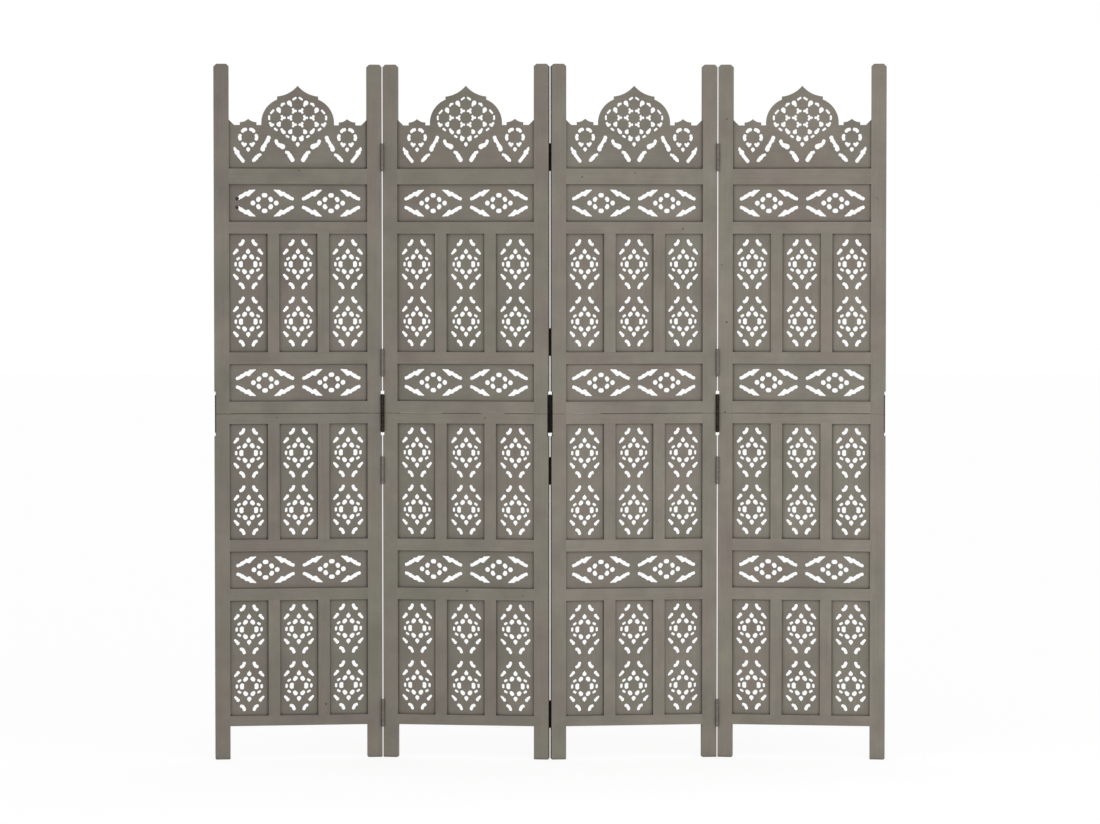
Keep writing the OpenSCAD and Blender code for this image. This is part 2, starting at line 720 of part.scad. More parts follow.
lower_stile(3, false);  // leaf_3_lower_left_stile
lower_stile(3, true);  // leaf_3_lower_right_stile
upper_stile(3, false);  // leaf_3_upper_left_stile
upper_stile(3, true);  // leaf_3_upper_right_stile
rails(3);  // leaf_3_rails
muntins(3);  // leaf_3_muntins
column_panels(3, 0);  // leaf_3_bottom_column_panels
column_panels(3, 1);  // leaf_3_middle_column_panels
column_panels(3, 2);  // leaf_3_top_column_panels
band_panels(3);  // leaf_3_band_panels
crest_panel(3);  // leaf_3_crest_panel

lower_stile(4, false);  // leaf_4_lower_left_stile
lower_stile(4, true);  // leaf_4_lower_right_stile
upper_stile(4, false);  // leaf_4_upper_left_stile
upper_stile(4, true);  // leaf_4_upper_right_stile
rails(4);  // leaf_4_rails
muntins(4);  // leaf_4_muntins
column_panels(4, 0);  // leaf_4_bottom_column_panels
column_panels(4, 1);  // leaf_4_middle_column_panels
column_panels(4, 2);  // leaf_4_top_column_panels
band_panels(4);  // leaf_4_band_panels
crest_panel(4);  // leaf_4_crest_panel

hinge_sides(1, 1, true, 0, pin_fit);  // seam_1_pin_side_plates
hinge_sides(1, 2, false, 1, pin_run);  // seam_1_free_side_plates
pins(1);  // seam_1_pins
hinge_sides(2, 2, true, 0, pin_fit);  // seam_2_pin_side_plates
hinge_sides(2, 3, false, 1, pin_run);  // seam_2_free_side_plates
pins(2);  // seam_2_pins
hinge_sides(3, 3, true, 0, pin_fit);  // seam_3_pin_side_plates
hinge_sides(3, 4, false, 1, pin_run);  // seam_3_free_side_plates
pins(3);  // seam_3_pins
joining_plate(1, false);  // left_joining_plate
joining_plate(4, true);  // right_joining_plate
leaf_screws(1);  // leaf_1_screws
leaf_screws(2);  // leaf_2_screws
leaf_screws(3);  // leaf_3_screws
leaf_screws(4);  // leaf_4_screws
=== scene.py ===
"""Four-leaf folding screen of fretted panels: its rubbed paint, its steel and its small fixings.

Lengths are in metres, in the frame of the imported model: +X along the screen, +Z up, front towards
-Y. The leaves, boards and hinges are the model's own pieces, and get their finishes here.
"""
import math
import random

import bmesh
import bpy
from mathutils import Matrix, Vector


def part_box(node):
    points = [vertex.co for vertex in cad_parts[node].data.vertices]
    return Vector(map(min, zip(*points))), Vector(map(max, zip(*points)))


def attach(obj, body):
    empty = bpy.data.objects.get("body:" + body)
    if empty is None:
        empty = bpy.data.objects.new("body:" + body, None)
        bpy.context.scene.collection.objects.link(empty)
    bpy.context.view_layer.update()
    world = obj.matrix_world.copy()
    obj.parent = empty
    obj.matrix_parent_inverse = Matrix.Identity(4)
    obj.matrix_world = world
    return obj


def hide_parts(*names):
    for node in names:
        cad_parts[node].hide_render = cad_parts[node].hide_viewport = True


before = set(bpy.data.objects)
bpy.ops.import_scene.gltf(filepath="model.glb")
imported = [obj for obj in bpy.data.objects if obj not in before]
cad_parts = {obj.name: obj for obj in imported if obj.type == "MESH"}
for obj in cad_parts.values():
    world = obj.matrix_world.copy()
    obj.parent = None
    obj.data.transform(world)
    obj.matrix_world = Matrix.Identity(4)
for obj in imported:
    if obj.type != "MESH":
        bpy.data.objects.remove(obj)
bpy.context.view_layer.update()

MM = 0.001
MERGE = 0.001 * MM          # corners nearer than this are one
LEAVES = (1, 2, 3, 4)
STILE_WIDTH = 35 * MM
LEAF_THICKNESS = 20 * MM
PANEL_DEPTH = 7 * MM        # from a leaf's face back to its boards

# The photograph's camera
PHOTO_WIDTH = 1100          # px
FOCAL_LENGTH = 4209         # px
SENSOR_WIDTH = 36           # mm
CAMERA_PLACE = (0, -10, 1.22)
CAMERA_DIP = math.radians(2.26)

# The studio: a white surround for the eye, and plain light for the object
AMBIENT = 0.70
KEY_PLACE = (0.9, -2.6, 0.75)
KEY_AIM = (0, 0, 0.85)
KEY_SIZE = (2.0, 1.4)
KEY_WATTS = 24
FLOOR_REACH = 30
FLOOR_WHITE = "#ffffff"
FLOOR_GLOW = 0.8            # share of the floor that the eye sees as plain light
FLOOR_LIGHT = 1.06          # its strength, which makes up for the dim rest

# Paint, and painted light: how much lighter or darker than the rest each leaf is made, lighter towards
# the right
PAINTED_LEAF_LIGHT = {1: 0.96, 2: 0.99, 3: 1.01, 4: 1.04}
PAINT_HUES = ("#7c746b", "#7e786e", "#7b776b")
PANEL_HUES = ("#7a7269", "#7b756b", "#787469")
CORNER_WASH_AND_SHADE = "#2f2b27"           # dark wash left in the corners, and painted shade there
RUBBED = "#9b958a"          # paint rubbed pale on the arrises
PATCH = 120 * MM            # cloudy patches of the wash
CLOUD = 40 * MM             # smaller clouds in them
TINT = 260 * MM             # slow drift of hue
STREAK = (4 * MM, 150 * MM)  # grain under the paint, across and along
BRUSH = (1.2 * MM, 45 * MM)  # brush marks, across and along
GRIT = 0.9 * MM             # chalk of the paint, drawn coarser than it is so that it shows
THIN, THICK = 0.3, 0.7      # nearly all of a noise lies between these
PAINT_BASE = 0.45           # strength of the colour before the layers below add to it
PAINT_SHARES = (0.55, 0.22, 0.17, 0.08, 0.08)   # patches, clouds, streaks, brush marks, grit
RELIEF_SHARES = (0.10, 0.05, 0.03)              # streaks, brush marks, grit, in mm
PAINT_DULLNESS = (0.72, 0.58)   # roughness, from the hollows of the grain to its crests
CORNER_WASH_AND_SHADE_REACH = 8 * MM
CORNER_WASH_AND_SHADE_SPREAD = (0.88, 0.35)     # how open a corner is where the wash and painted shade start, and where they are full
CORNER_WASH_AND_SHADE_COVER = (0.5, 0.9)        # how much of the paint it hides there, from cloud to cloud
ARRIS = 0.9 * MM
ARRIS_TURN = (0.995, 0.8)       # cosine of the turn at which an arris starts, and is at its sharpest
ARRIS_RUB = (0.1, 0.8)          # how far it is rubbed, from patch to patch

# Steel of the hinges and joining plates
LONG_HINGE = 50 * MM        # half the height of the long hinges, and a little over
HINGE_PAINT = ("#625c55", "#7a746b", "#a39d93")     # its dark, its light, and where it is rubbed
HINGE_BROWN = ("#221d18", "#40382f", "#6f675c")     # the same, where the steel is bare
HINGE_MOTTLE = 6 * MM
HINGE_RUB = 0.55
# Dark wash and painted shade where the hinges meet the wood
HINGE_CORNER_WASH_AND_SHADE_REACH = 4 * MM
HINGE_CORNER_WASH_AND_SHADE_SPREAD = (0.95, 0.45)
HINGE_CORNER_WASH_AND_SHADE_COVER = 0.95
HINGE_DULLNESS = (0.45, 0.62)
HINGE_RELIEF = 0.05 * MM
LACQUER = ("#0e0a07", "#4c463f")    # the black, and where it is rubbed
LACQUER_DUST = 3 * MM
LACQUER_DULLNESS = (0.34, 0.5)
LACQUER_RELIEF = 0.03 * MM
STEEL_ARRIS = 0.4 * MM

# Slotted countersunk wood screws
SCREW_LENGTH = 14 * MM
SCREW_HEAD = 2.7 * MM
SCREW_SHANK = 1.4 * MM
SCREW_POINT = 3 * MM
SCREW_TIP = 0.1 * MM
SCREW_SLOT = (0.8 * MM, 0.9 * MM)
SCREW_SIDES = 20
BLUED_STEEL = ("#2c2926", "#6f6a63")
SCREW_WEAR = 1.4 * MM
SCREW_DULLNESS = (0.32, 0.5)

# Wood filler, pressed in as flat lenses
FILLER = ("#2e2a26", "#5b544c")
FILLER_SOAK = 1.5 * MM
SMALLEST_FILL = (0.55, 0.45, 1.0)   # against the size that is asked for
LARGEST_FILL = (1.25, 0.9, 1.0)
BITE = 1.6 * MM                     # size of the bites in a fill's outline
BITE_REACH = 2.4 * MM               # twice as far as the deepest of them goes

# Filled nail holes: leaf, place from its left edge and height, in mm
NAIL_HOLES = (
    (1, 147, 812), (1, 261, 518), (1, 263, 129), (1, 201, 1399),
    (2, 246, 812), (2, 337, 389), (2, 202, 400),
    (3, 73, 1383), (3, 200, 1393), (3, 315, 1260),
    (4, 21, 1521), (4, 9, 1175), (4, 21, 1039), (4, 17, 825), (4, 377, 1333),
)
NAIL_HOLE = 2.3 * MM
NAIL_PROUD = 0.12 * MM

# Painted shade in the joint between each leaf's two frames: dark beads, as dark as the filler, where
# the gap's shade falls. Its height, and from where to where it lies, in mm from the leaf's left edge.
# Light shows between its stretches
PAINTED_JOINT_SHADE = {
    1: (1.5 * MM, ((0, 398),)),
    2: (1.0 * MM, ((0, 37), (139, 235), (288, 398))),
    3: (1.1 * MM, ((0, 31), (120, 398))),
    4: (0.7 * MM, ((0, 398),)),
}
SHADE_BEAD_STEP = 4 * MM
SHADE_BEAD_DEPTH = 1.2 * MM
SHADE_BEAD_PROUD = 0.06 * MM
SHADE_BEAD_SWELL = (0.5, 1.2)      # thinnest and thickest, against its height
SHADE_BEAD_ENDS = 0.25             # and where it tapers off
SHADE_BEAD_DRIFT = 0.15            # how far it strays from the joint, against its height

# Slot ends that the cutter left blind, in the top band of the first leaf, placed as nail holes are
BLIND_ENDS = ((1, 51.6, 1330.0), (1, 53.2, 1310.4))
BLIND_END = 9 * MM
BLIND_DEPTH = 2.5 * MM
BLIND_WOOD = 0.6 * MM

# Paint of a leaf's pieces: what it is on, whether its grain lies level, hues, seed, pieces
PAINTS = (
    ("uprights", False, PAINT_HUES, 10, (
        "lower_left_stile", "lower_right_stile", "upper_left_stile", "upper_right_stile", "muntins")),
    ("rails", True, PAINT_HUES, 20, ("rails",)),
    ("columns", False, PANEL_HUES, 30, (
        "bottom_column_panels", "middle_column_panels", "top_column_panels")),
    ("bands", True, PANEL_HUES, 40, ("band_panels", "crest_panel")),
)


# ---------------------------------------------------------------- small tools

def linear(code):
    """An sRGB hex colour as linear numbers."""
    channels = [int(code[i:i + 2], 16) / 255 for i in (1, 3, 5)]
    return [c / 12.92 if c <= 0.04045 else ((c + 0.055) / 1.055) ** 2.4 for c in channels] + [1.0]


def toned(code, tone):
    """An sRGB hex colour as linear numbers, made lighter or darker."""
    return [c * tone for c in linear(code)[:3]] + [1.0]


def add(tree, kind, settings=None, inputs=None):
    """Adds a node. An input takes a plain value, or the output that it is linked from."""
    node = tree.nodes.new(kind)
    for name, value in (settings or {}).items():
        setattr(node, name, value)
    for key, value in (inputs or {}).items():
        if isinstance(value, bpy.types.NodeSocket):
            tree.links.new(value, node.inputs[key])
        else:
            node.inputs[key].default_value = value
    return node


def new_material(name):
    """An empty material and its tree."""
    material = bpy.data.materials.new(name)
    material.use_nodes = True
    material.node_tree.nodes.clear()
    return material, material.node_tree


def middle(node):
    """The middle of the box round a model's node."""
    low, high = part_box(node)
    return (low + high) / 2


def leaf_matrix(leaf):
    """Takes a place on a leaf to the frame. Returned with the leaf's turn about the z axis.

    On a leaf, x runs along it from its middle, and y from its mid plane to the back.
    """
    left = middle(f"leaf_{leaf}_lower_left_stile")
    right = middle(f"leaf_{leaf}_lower_right_stile")
    turn = math.atan2(right.y - left.y, right.x - left.x)
    centre = (left + right) / 2
    return Matrix.Translation((centre.x, centre.y, 0)) @ Matrix.Rotation(turn, 4, "Z"), turn


def leaf_width(leaf):
    """A leaf's width over both its stiles."""
    left = middle(f"leaf_{leaf}_lower_left_stile")
    right = middle(f"leaf_{leaf}_lower_right_stile")
    return (right - left).to_2d().length + STILE_WIDTH


# ---------------------------------------------------------------- studio

def build_camera():
    """Stands the photograph's camera up."""
    camera = bpy.data.objects.new("camera", bpy.data.cameras.new("camera"))
    camera.data.sensor_width = SENSOR_WIDTH
    camera.data.lens = SENSOR_WIDTH * FOCAL_LENGTH / PHOTO_WIDTH
    camera.data.clip_end = 200
    camera.location = CAMERA_PLACE
    camera.rotation_euler = (math.pi / 2 - CAMERA_DIP, 0, 0)
    bpy.context.scene.collection.objects.link(camera)
    bpy.context.scene.camera = camera


def eye_rays(tree):
    """1 for rays that the eye, a gloss or a clear surface sends, 0 for rays that carry light."""
    path = add(tree, "ShaderNodeLightPath")
    gloss = add(tree, "ShaderNodeMath", {"operation": "MAXIMUM"},
                {0: path.outputs["Is Camera Ray"], 1: path.outputs["Is Glossy Ray"]})
    clear = add(tree, "ShaderNodeMath", {"operation": "MAXIMUM"},
                {0: gloss.outputs[0], 1: path.outputs["Is Transmission Ray"]})
    return clear.outputs[0]


def build_world():
    """A surround that is white to the eye and dimmer as light."""
    world = bpy.data.worlds.new("studio")
    world.use_nodes = True
    tree = world.node_tree
    tree.nodes.clear()
    light = add(tree, "ShaderNodeBackground", None, {"Color": (1, 1, 1, 1), "Strength": AMBIENT})
    white = add(tree, "ShaderNodeBackground", None, {"Color": (1, 1, 1, 1), "Strength": 1})
    both = add(tree, "ShaderNodeMixShader", None,
               {0: eye_rays(tree), 1: light.outputs[0], 2: white.outputs[0]})
    add(tree, "ShaderNodeOutputWorld", None, {"Surface": both.outputs[0]})
    bpy.context.scene.world = world


def build_lamp(name, place, target, size, watts):
    """Hangs a soft oblong lamp, turned to its target."""
    lamp = bpy.data.objects.new(name, bpy.data.lights.new(name, "AREA"))
    lamp.data.shape = "RECTANGLE"
    lamp.data.size, lamp.data.size_y = size
    lamp.data.energy = watts
    lamp.location = place
    aim = Vector(target) - Vector(place)
    lamp.rotation_euler = aim.to_track_quat("-Z", "Y").to_euler()
    bpy.context.scene.collection.objects.link(lamp)


def build_floor():
    """Lays a white floor that takes the screen's shadow and fades into the surround."""
    mesh = bpy.data.meshes.new("floor")
    r = FLOOR_REACH
    mesh.from_pydata([(-r, -r, 0), (r, -r, 0), (r, r, 0), (-r, r, 0)], [], [(0, 1, 2, 3)])
    floor = bpy.data.objects.new("floor", mesh)
    bpy.context.scene.collection.objects.link(floor)
    material, tree = new_material("white studio floor")
    matte = add(tree, "ShaderNodeBsdfDiffuse", None, {"Color": linear(FLOOR_WHITE)})
    white = add(tree, "ShaderNodeEmission", None, {"Color": (1, 1, 1, 1), "Strength": FLOOR_LIGHT})
    share = add(tree, "ShaderNodeMath", {"operation": "MULTIPLY"}, {0: eye_rays(tree), 1: FLOOR_GLOW})
    both = add(tree, "ShaderNodeMixShader", None,
               {0: share.outputs[0], 1: matte.outputs[0], 2: white.outputs[0]})
    add(tree, "ShaderNodeOutputMaterial", None, {"Surface": both.outputs[0]})
    mesh.materials.append(material)


# ---------------------------------------------------------------- finishes

def worn_edge(tree, radius):
    """The eased normal of an arris, and 1 on the arris falling to 0 off it."""
    eased = add(tree, "ShaderNodeBevel", {"samples": 4}, {"Radius": radius})
    face = add(tree, "ShaderNodeNewGeometry")
    turn = add(tree, "ShaderNodeVectorMath", {"operation": "DOT_PRODUCT"},
               {0: eased.outputs[0], 1: face.outputs["Normal"]})
    edge = add(tree, "ShaderNodeMapRange", None,
               {"Value": turn.outputs["Value"], "From Min": ARRIS_TURN[0], "From Max": ARRIS_TURN[1]})
    return eased.outputs[0], edge.outputs[0]


def chalk_paint(name, turn, level, hues, tone, seed):
    """Chalk paint on mango wood, brushed on in two coats and rubbed back by hand.

    It gives a dull grey with cloudy warm and green patches, the long grain showing through, dark wash
    and painted shade in the corners, pale rubbed arrises, and a tone that lightens whole leaves as
    painted light.
    """
    material, tree = new_material(name)
    draw = random.Random(seed)
    shift = [draw.uniform(-3, 3) for _ in range(3)]
    coords = add(tree, "ShaderNodeTexCoord")
    grain = add(tree, "ShaderNodeMapping", {"vector_type": "TEXTURE"}, {
        "Vector": coords.outputs["Object"], "Location": shift,
        "Rotation": (0, math.pi / 2 if level else 0, turn)}).outputs[0]

    def noise(scale, detail, roughness=0.55):
        """Noise of one size, or with one size across the grain and another along it."""
        across, along = scale if isinstance(scale, tuple) else (scale, scale)
        sized = add(tree, "ShaderNodeVectorMath", {"operation": "MULTIPLY"},
                    {0: grain, 1: (1 / across, 1 / across, 1 / along)})
        return add(tree, "ShaderNodeTexNoise", None,
                   {"Vector": sized.outputs[0], "Scale": 1, "Detail": detail,
                    "Roughness": roughness}).outputs[0]

    patches = noise(PATCH, 4, 0.6)
    clouds = noise(CLOUD, 3)
    tint = noise(TINT, 2)
    streaks = noise(STREAK, 4)
    brush = noise(BRUSH, 2)
    grit = noise(GRIT, 1)

    # The tone lightens the leaves towards the right: painted light
    hue = add(tree, "ShaderNodeValToRGB", None, {"Fac": tint})
    ramp = hue.color_ramp
    ramp.elements[0].position, ramp.elements[1].position = 0.36, 0.64
    ramp.elements[0].color, ramp.elements[1].color = toned(hues[0], tone), toned(hues[2], tone)
    ramp.elements.new(0.5).color = toned(hues[1], tone)

    strength = PAINT_BASE
    for source, amount in zip((patches, clouds, streaks, brush, grit), PAINT_SHARES):
        strength = add(tree, "ShaderNodeMath", {"operation": "MULTIPLY_ADD"},
                       {0: source, 1: amount, 2: strength}).outputs[0]
    colour = add(tree, "ShaderNodeVectorMath", {"operation": "SCALE"},
                 {0: hue.outputs[0], "Scale": strength}).outputs[0]

    # Dark wash and painted shade: the paint darkens where ambient occlusion finds a corner or recess
    hollow = add(tree, "ShaderNodeAmbientOcclusion", {"samples": 8}, {"Distance": CORNER_WASH_AND_SHADE_REACH})
    wash_and_shade_cover = add(tree, "ShaderNodeMapRange", None, {
        "Value": clouds, "From Min": 0.35, "From Max": 0.65,
        "To Min": CORNER_WASH_AND_SHADE_COVER[0], "To Max": CORNER_WASH_AND_SHADE_COVER[1]})
    corner_wash_and_shade = add(tree, "ShaderNodeMapRange", None, {
        "Value": hollow.outputs["AO"], "From Min": CORNER_WASH_AND_SHADE_SPREAD[0], "From Max": CORNER_WASH_AND_SHADE_SPREAD[1],
        "To Max": wash_and_shade_cover.outputs[0]})
    colour = add(tree, "ShaderNodeMix", {"data_type": "RGBA"},
                 {0: corner_wash_and_shade.outputs[0], 6: colour, 7: toned(CORNER_WASH_AND_SHADE, tone)}).outputs[2]

    eased, edge = worn_edge(tree, ARRIS)
    rub = add(tree, "ShaderNodeMapRange", None, {
        "Value": patches, "From Min": THIN, "From Max": THICK,
        "To Min": ARRIS_RUB[0], "To Max": ARRIS_RUB[1]})
    worn = add(tree, "ShaderNodeMath", {"operation": "MULTIPLY"}, {0: edge, 1: rub.outputs[0]})
    colour = add(tree, "ShaderNodeMix", {"data_type": "RGBA"},
                 {0: worn.outputs[0], 6: colour, 7: toned(RUBBED, tone)}).outputs[2]

    height = 0.0
    for source, depth in zip((streaks, brush, grit), RELIEF_SHARES):
        height = add(tree, "ShaderNodeMath", {"operation": "MULTIPLY_ADD"},
                     {0: source, 1: depth, 2: height}).outputs[0]
    relief = add(tree, "ShaderNodeBump", None,
                 {"Strength": 1.0, "Distance": MM, "Height": height, "Normal": eased})
    dull = add(tree, "ShaderNodeMapRange", None, {
        "Value": streaks, "From Min": THIN, "From Max": THICK,
        "To Min": PAINT_DULLNESS[0], "To Max": PAINT_DULLNESS[1]})
    paint = add(tree, "ShaderNodeBsdfPrincipled", None, {
        "Base Color": colour, "Roughness": dull.outputs[0], "IOR": 1.5,
        "Specular IOR Level": 0.3, "Normal": relief.outputs[0]})
    add(tree, "ShaderNodeOutputMaterial", None, {"Surface": paint.outputs[0]})
    return material


def hinge_steel():
    """The front hinges: the small ones brushed over with the chalk paint, the long one left brown."""
    material, tree = new_material("painted and browned hinge steel")
    coords = add(tree, "ShaderNodeTexCoord")
    parts = add(tree, "ShaderNodeSeparateXYZ", None, {0: coords.outputs["Object"]})
    level = (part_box("leaf_1_lower_left_stile")[1].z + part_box("leaf_1_upper_left_stile")[0].z) / 2
    off = add(tree, "ShaderNodeMath", {"operation": "SUBTRACT"}, {0: parts.outputs[2], 1: level})
    away = add(tree, "ShaderNodeMath", {"operation": "ABSOLUTE"}, {0: off.outputs[0]})
    bare = add(tree, "ShaderNodeMath", {"operation": "LESS_THAN"}, {0: away.outputs[0], 1: LONG_HINGE})
    mottle = add(tree, "ShaderNodeTexNoise", None, {
        "Vector": coords.outputs["Object"], "Scale": 1 / HINGE_MOTTLE, "Detail": 4}).outputs[0]

    def mottled(dark, light):
        """One hue mottled with another, as steel takes a coat."""
        hue = add(tree, "ShaderNodeValToRGB", None, {"Fac": mottle})
        hue.color_ramp.elements[0].position, hue.color_ramp.elements[1].position = 0.38, 0.66
        hue.color_ramp.elements[0].color, hue.color_ramp.elements[1].color = linear(dark), linear(light)
        return hue.outputs[0]

    eased, edge = worn_edge(tree, STEEL_ARRIS)
    rubbed = add(tree, "ShaderNodeMath", {"operation": "MULTIPLY"}, {0: edge, 1: HINGE_RUB})
    paint = add(tree, "ShaderNodeMix", {"data_type": "RGBA"}, {
        0: rubbed.outputs[0], 6: mottled(*HINGE_PAINT[:2]), 7: linear(HINGE_PAINT[2])}).outputs[2]
    # Dark wash and painted shade round the painted hinges, where ambient occlusion finds a corner
    hollow = add(tree, "ShaderNodeAmbientOcclusion", {"samples": 8}, {"Distance": HINGE_CORNER_WASH_AND_SHADE_REACH})
    corner_wash_and_shade = add(tree, "ShaderNodeMapRange", None, {
        "Value": hollow.outputs["AO"], "From Min": HINGE_CORNER_WASH_AND_SHADE_SPREAD[0],
        "From Max": HINGE_CORNER_WASH_AND_SHADE_SPREAD[1], "To Max": HINGE_CORNER_WASH_AND_SHADE_COVER})
    paint = add(tree, "ShaderNodeMix", {"data_type": "RGBA"},
                {0: corner_wash_and_shade.outputs[0], 6: paint, 7: linear(CORNER_WASH_AND_SHADE)}).outputs[2]
    brown = add(tree, "ShaderNodeMix", {"data_type": "RGBA"}, {
        0: rubbed.outputs[0], 6: mottled(*HINGE_BROWN[:2]), 7: linear(HINGE_BROWN[2])}).outputs[2]
    colour = add(tree, "ShaderNodeMix", {"data_type": "RGBA"},
                 {0: bare.outputs[0], 6: paint, 7: brown}).outputs[2]
    metal = add(tree, "ShaderNodeMath", {"operation": "MULTIPLY"}, {0: bare.outputs[0], 1: 0.9})
    dull = add(tree, "ShaderNodeMapRange", None, {
        "Value": mottle, "From Min": THIN, "From Max": THICK,
        "To Min": HINGE_DULLNESS[0], "To Max": HINGE_DULLNESS[1]})
    relief = add(tree, "ShaderNodeBump", None, {
        "Strength": 1.0, "Distance": HINGE_RELIEF, "Height": mottle, "Normal": eased})
    steel = add(tree, "ShaderNodeBsdfPrincipled", None, {
        "Base Color": colour, "Metallic": metal.outputs[0], "Roughness": dull.outputs[0],
        "Normal": relief.outputs[0]})
    add(tree, "ShaderNodeOutputMaterial", None, {"Surface": steel.outputs[0]})
    return material


def black_lacquer():
    """Steel dipped in black lacquer: a soft satin black, rubbed through to grey at the arrises. At the
    middle seam its black is painted shade.
    """
    material, tree = new_material("black lacquered steel")
    coords = add(tree, "ShaderNodeTexCoord")
    dust = add(tree, "ShaderNodeTexNoise", None, {
        "Vector": coords.outputs["Object"], "Scale": 1 / LACQUER_DUST, "Detail": 3}).outputs[0]
    eased, edge = worn_edge(tree, STEEL_ARRIS)
    rub = add(tree, "ShaderNodeMath", {"operation": "MULTIPLY"}, {0: edge, 1: dust})
    colour = add(tree, "ShaderNodeMix", {"data_type": "RGBA"},
                 {0: rub.outputs[0], 6: linear(LACQUER[0]), 7: linear(LACQUER[1])})
    dull = add(tree, "ShaderNodeMapRange", None, {
        "Value": dust, "From Min": THIN, "From Max": THICK,
        "To Min": LACQUER_DULLNESS[0], "To Max": LACQUER_DULLNESS[1]})
    relief = add(tree, "ShaderNodeBump", None, {
        "Strength": 1.0, "Distance": LACQUER_RELIEF, "Height": dust, "Normal": eased})
    lacquer = add(tree, "ShaderNodeBsdfPrincipled", None, {
        "Base Color": colour.outputs[2], "Roughness": dull.outputs[0], "IOR": 1.5,
        "Specular IOR Level": 0.3, "Normal": relief.outputs[0]})
    add(tree, "ShaderNodeOutputMaterial", None, {"Surface": lacquer.outputs[0]})
    return material


def blackened_screw_steel():
    """Wood screws blued black: dark steel with grey where the driver has turned them."""
    material, tree = new_material("blued screw steel")
    coords = add(tree, "ShaderNodeTexCoord")
    wear = add(tree, "ShaderNodeTexNoise", None, {
        "Vector": coords.outputs["Object"], "Scale": 1 / SCREW_WEAR, "Detail": 3}).outputs[0]
    hue = add(tree, "ShaderNodeValToRGB", None, {"Fac": wear})
    hue.color_ramp.elements[0].position, hue.color_ramp.elements[1].position = 0.4, 0.72
    hue.color_ramp.elements[0].color = linear(BLUED_STEEL[0])
    hue.color_ramp.elements[1].color = linear(BLUED_STEEL[1])
    dull = add(tree, "ShaderNodeMapRange", None, {
        "Value": wear, "From Min": THIN, "From Max": THICK,
        "To Min": SCREW_DULLNESS[0], "To Max": SCREW_DULLNESS[1]})
    steel = add(tree, "ShaderNodeBsdfPrincipled", None,
                {"Base Color": hue.outputs[0], "Metallic": 1.0, "Roughness": dull.outputs[0]})
    add(tree, "ShaderNodeOutputMaterial", None, {"Surface": steel.outputs[0]})
    return material


def wood_filler():
    """Filler pressed over a nail head, which the dark wash has soaked into. The joint beads wear it as
    painted shade.
    """
    material, tree = new_material("stained wood filler, also painted joint shade")
    coords = add(tree, "ShaderNodeTexCoord")
    soak = add(tree, "ShaderNodeTexNoise", None, {
        "Vector": coords.outputs["Object"], "Scale": 1 / FILLER_SOAK, "Detail": 3}).outputs[0]
    hue = add(tree, "ShaderNodeValToRGB", None, {"Fac": soak})
    hue.color_ramp.elements[0].position, hue.color_ramp.elements[1].position = 0.4, 0.65
    hue.color_ramp.elements[0].color = linear(FILLER[0])
    hue.color_ramp.elements[1].color = linear(FILLER[1])
    filler = add(tree, "ShaderNodeBsdfPrincipled", None,
                 {"Base Color": hue.outputs[0], "Roughness": 0.8, "Specular IOR Level": 0.2})
    add(tree, "ShaderNodeOutputMaterial", None, {"Surface": filler.outputs[0]})
    return material


def finish_node(node, material):
    """Gives a piece of the model its finish."""
    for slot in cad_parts[node].material_slots:
        slot.material = material


# ---------------------------------------------------------------- fixings

def geometry_tree(name, sizes):
    """A Geometry Nodes tree with a named input for each size. Returns it and its input node."""
    tree = bpy.data.node_groups.new(name, "GeometryNodeTree")
    tree.interface.new_socket("Points", in_out="INPUT", socket_type="NodeSocketGeometry")
    for size in sizes:
        tree.interface.new_socket(size, in_out="INPUT", socket_type="NodeSocketFloat")
    tree.interface.new_socket("Finish", in_out="INPUT", socket_type="NodeSocketMaterial")
    tree.interface.new_socket("Geometry", in_out="OUTPUT", socket_type="NodeSocketGeometry")
    return tree, add(tree, "NodeGroupInput")


def facing_rotation(tree, seed):
    """Turns a thing's z axis to the point's facing, and spins it about that axis at random."""
    facing = add(tree, "GeometryNodeInputNamedAttribute", {"data_type": "FLOAT_VECTOR"},
                 {"Name": "facing"})
    aligned = add(tree, "FunctionNodeAlignRotationToVector", {"axis": "Z"},
                  {"Vector": facing.outputs[0]})
    angle = add(tree, "FunctionNodeRandomValue", {"data_type": "FLOAT"},
                {2: 0.0, 3: 2 * math.pi, "Seed": seed})
    spin = add(tree, "ShaderNodeCombineXYZ", None, {2: angle.outputs[1]})
    spun = add(tree, "FunctionNodeEulerToRotation", None, {0: spin.outputs[0]})
    return add(tree, "FunctionNodeRotateRotation", {"rotation_space": "LOCAL"},
               {0: aligned.outputs[0], 1: spun.outputs[0]}).outputs[0]


def finished(tree, geometry, finish):
    """Ends a tree: the instances made real, with their finish on."""
    real = add(tree, "GeometryNodeRealizeInstances", None, {0: geometry})
    painted = add(tree, "GeometryNodeSetMaterial", None,
                  {"Geometry": real.outputs[0], "Material": finish})
    add(tree, "NodeGroupOutput", None, {0: painted.outputs[0]})


